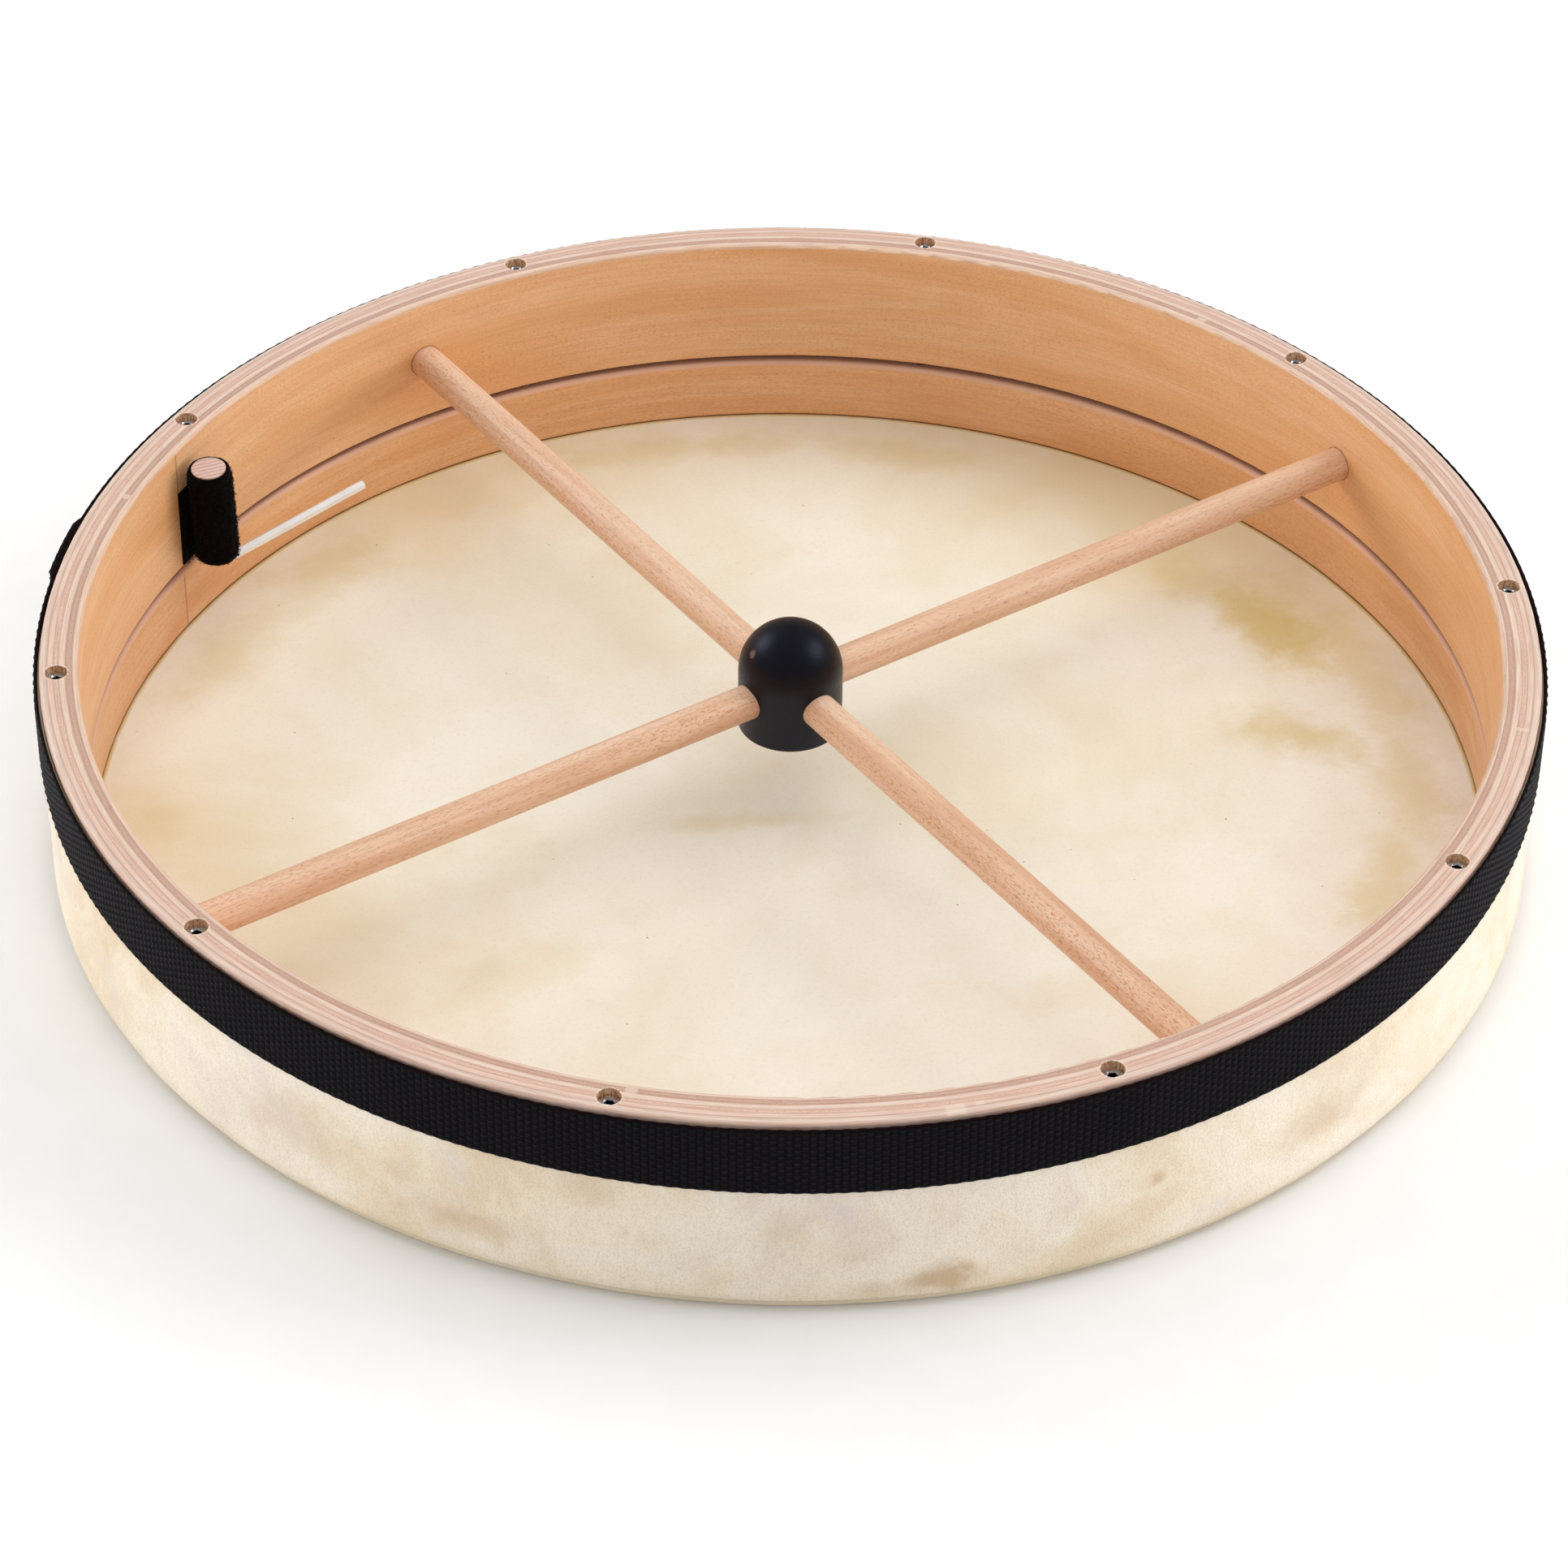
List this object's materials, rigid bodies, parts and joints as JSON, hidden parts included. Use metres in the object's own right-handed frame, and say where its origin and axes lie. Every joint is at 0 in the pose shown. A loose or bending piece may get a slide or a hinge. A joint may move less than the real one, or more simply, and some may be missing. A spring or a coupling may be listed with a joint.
{
  "type": "tunable frame drum",
  "caption": "Shallow tunable frame drum with a goatskin head, crossed handle rods, sunk tuning screws pressing an inner ring, and a hex key held inside.",
  "frame": {"origin": "centre of the drum on its playing face, where the skin lies on the floor", "axes": "+Z from the playing face to the open rim; +X to the right and +Y to the back of the drum as it lies, with the rods at 34.7, 124.7, 214.7 and 304.7 degrees from +X"},
  "size_m": [0.5003, 0.4998, 0.076],
  "materials": {
    "beech_ply": "satin",
    "beech_dowel": "satin",
    "black_wood": "satin",
    "goatskin": "matte",
    "webbing": "matte",
    "pile": "matte",
    "steel": "polished",
    "brass": "satin"
  },
  "bodies": {
    "drum": {"outer_shell": "beech_ply", "fixed_hoop": "beech_ply", "head_skin": "goatskin", "head_skirt": "goatskin", "webbing_band": "webbing", "skin_staples": "steel", "threaded_inserts": "brass", "crossbar_rod_1": "beech_dowel", "crossbar_rod_2": "beech_dowel", "crossbar_rod_3": "beech_dowel", "crossbar_rod_4": "beech_dowel", "crossbar_hub": "black_wood", "hook_patch": "pile"},
    "ring": {"tuning_ring": "beech_ply", "thrust_cups": "steel"},
    "screw_01": {"tuning_screw_01": "steel"},
    "screw_02": {"tuning_screw_02": "steel"},
    "screw_03": {"tuning_screw_03": "steel"},
    "screw_04": {"tuning_screw_04": "steel"},
    "screw_05": {"tuning_screw_05": "steel"},
    "screw_06": {"tuning_screw_06": "steel"},
    "screw_07": {"tuning_screw_07": "steel"},
    "screw_08": {"tuning_screw_08": "steel"},
    "screw_09": {"tuning_screw_09": "steel"},
    "screw_10": {"tuning_screw_10": "steel"},
    "key": {"key_arms": "steel", "key_handle": "beech_dowel", "key_sleeve": "pile"}
  },
  "joints": [
    {"name": "ring_slide", "type": "slide", "parent": "drum", "child": "ring", "axis": [0, 0, 1], "range_m": [0, 0.0021]},
    {"name": "screw_turn_01", "type": "hinge", "parent": "ring", "child": "screw_01", "pos_m": [-0.18196, -0.15985, 0.0685], "axis": [0, 0, 1], "range_deg": [0, 1081]},
    {"name": "screw_turn_02", "type": "hinge", "parent": "ring", "child": "screw_02", "pos_m": [-0.05234, -0.23648, 0.0685], "axis": [0, 0, 1], "range_deg": [0, 1081]},
    {"name": "screw_turn_03", "type": "hinge", "parent": "ring", "child": "screw_03", "pos_m": [0.09751, -0.22171, 0.0685], "axis": [0, 0, 1], "range_deg": [0, 1081]},
    {"name": "screw_turn_04", "type": "hinge", "parent": "ring", "child": "screw_04", "pos_m": [0.20967, -0.12125, 0.0685], "axis": [0, 0, 1], "range_deg": [0, 1081]},
    {"name": "screw_turn_05", "type": "hinge", "parent": "ring", "child": "screw_05", "pos_m": [0.24079, 0.02607, 0.0685], "axis": [0, 0, 1], "range_deg": [0, 1081]},
    {"name": "screw_turn_06", "type": "hinge", "parent": "ring", "child": "screw_06", "pos_m": [0.17885, 0.16332, 0.0685], "axis": [0, 0, 1], "range_deg": [0, 1081]},
    {"name": "screw_turn_07", "type": "hinge", "parent": "ring", "child": "screw_07", "pos_m": [0.04779, 0.23744, 0.0685], "axis": [0, 0, 1], "range_deg": [0, 1081]},
    {"name": "screw_turn_08", "type": "hinge", "parent": "ring", "child": "screw_08", "pos_m": [-0.10174, 0.21979, 0.0685], "axis": [0, 0, 1], "range_deg": [0, 1081]},
    {"name": "screw_turn_09", "type": "hinge", "parent": "ring", "child": "screw_09", "pos_m": [-0.21196, 0.1172, 0.0685], "axis": [0, 0, 1], "range_deg": [0, 1081]},
    {"name": "screw_turn_10", "type": "hinge", "parent": "ring", "child": "screw_10", "pos_m": [-0.24025, -0.03069, 0.0685], "axis": [0, 0, 1], "range_deg": [0, 1081]},
    {"name": "key_lift", "type": "slide", "parent": "drum", "child": "key", "axis": [0.449, -0.22, 0.866], "range_m": [0, 0.085]}
  ],
  "couplings": [
    {"joint": "screw_turn_01", "follows": "ring_slide", "rad_per_m": 8976},
    {"joint": "screw_turn_02", "follows": "ring_slide", "rad_per_m": 8976},
    {"joint": "screw_turn_03", "follows": "ring_slide", "rad_per_m": 8976},
    {"joint": "screw_turn_04", "follows": "ring_slide", "rad_per_m": 8976},
    {"joint": "screw_turn_05", "follows": "ring_slide", "rad_per_m": 8976},
    {"joint": "screw_turn_06", "follows": "ring_slide", "rad_per_m": 8976},
    {"joint": "screw_turn_07", "follows": "ring_slide", "rad_per_m": 8976},
    {"joint": "screw_turn_08", "follows": "ring_slide", "rad_per_m": 8976},
    {"joint": "screw_turn_09", "follows": "ring_slide", "rad_per_m": 8976},
    {"joint": "screw_turn_10", "follows": "ring_slide", "rad_per_m": 8976}
  ]
}
